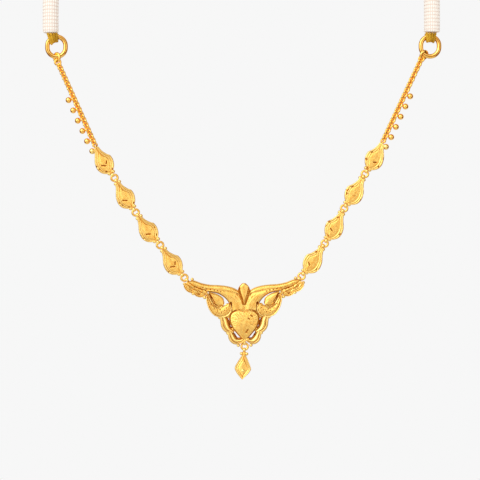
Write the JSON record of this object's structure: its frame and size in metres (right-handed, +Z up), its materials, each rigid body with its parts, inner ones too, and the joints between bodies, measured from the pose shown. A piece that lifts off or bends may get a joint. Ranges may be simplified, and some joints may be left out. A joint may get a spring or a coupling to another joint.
{
  "type": "necklace",
  "caption": "Gold festoon necklace: openwork heart pendant with a drop, tear-drop links and fine round-link chains on a white thread-wound neck cord.",
  "frame": {"origin": "inner side of the neck cord at the nape, where the necklace rests on the wearer", "axes": "+X to the right as seen from the front, +Y to the back, +Z up; the gold front hangs in a vertical plane 105 mm in front of the nape"},
  "size_m": [0.1515, 0.1143, 0.1892],
  "materials": {
    "satin_gold": "satin",
    "polished_gold": "polished",
    "white_thread": "wound thread",
    "gold_thread": "twisted metallic thread"
  },
  "bodies": {
    "necklace": {"neck_cord": "white_thread", "cord_loop_left": "gold_thread", "cord_loop_right": "gold_thread", "end_ring_left": "polished_gold", "end_ring_right": "polished_gold", "chain_left": "satin_gold", "chain_right": "satin_gold", "bead_link_left_1": "polished_gold", "bead_link_left_2": "polished_gold", "bead_link_left_3": "polished_gold", "bead_link_left_4": "polished_gold", "bead_link_left_5": "polished_gold", "bead_link_right_1": "polished_gold", "bead_link_right_2": "polished_gold", "bead_link_right_3": "polished_gold", "bead_link_right_4": "polished_gold", "bead_link_right_5": "polished_gold", "link_left_1": "satin_gold", "link_left_2": "satin_gold", "link_left_3": "satin_gold", "link_left_4": "satin_gold", "link_right_1": "satin_gold", "link_right_2": "satin_gold", "link_right_3": "satin_gold", "link_right_4": "satin_gold", "jump_ring_left_1": "polished_gold", "jump_ring_left_2": "polished_gold", "jump_ring_left_3": "polished_gold", "jump_ring_left_4": "polished_gold", "jump_ring_right_1": "polished_gold", "jump_ring_right_2": "polished_gold", "jump_ring_right_3": "polished_gold", "jump_ring_right_4": "polished_gold", "pendant": "satin_gold"},
    "drop": {"drop_ring": "polished_gold", "drop": "satin_gold"}
  },
  "joints": [
    {"name": "drop_swing", "type": "hinge", "parent": "necklace", "child": "drop", "pos_m": [0.00014, -0.105, -0.17235], "axis": [-1, 0, 0], "range_deg": [-60, 60]}
  ]
}
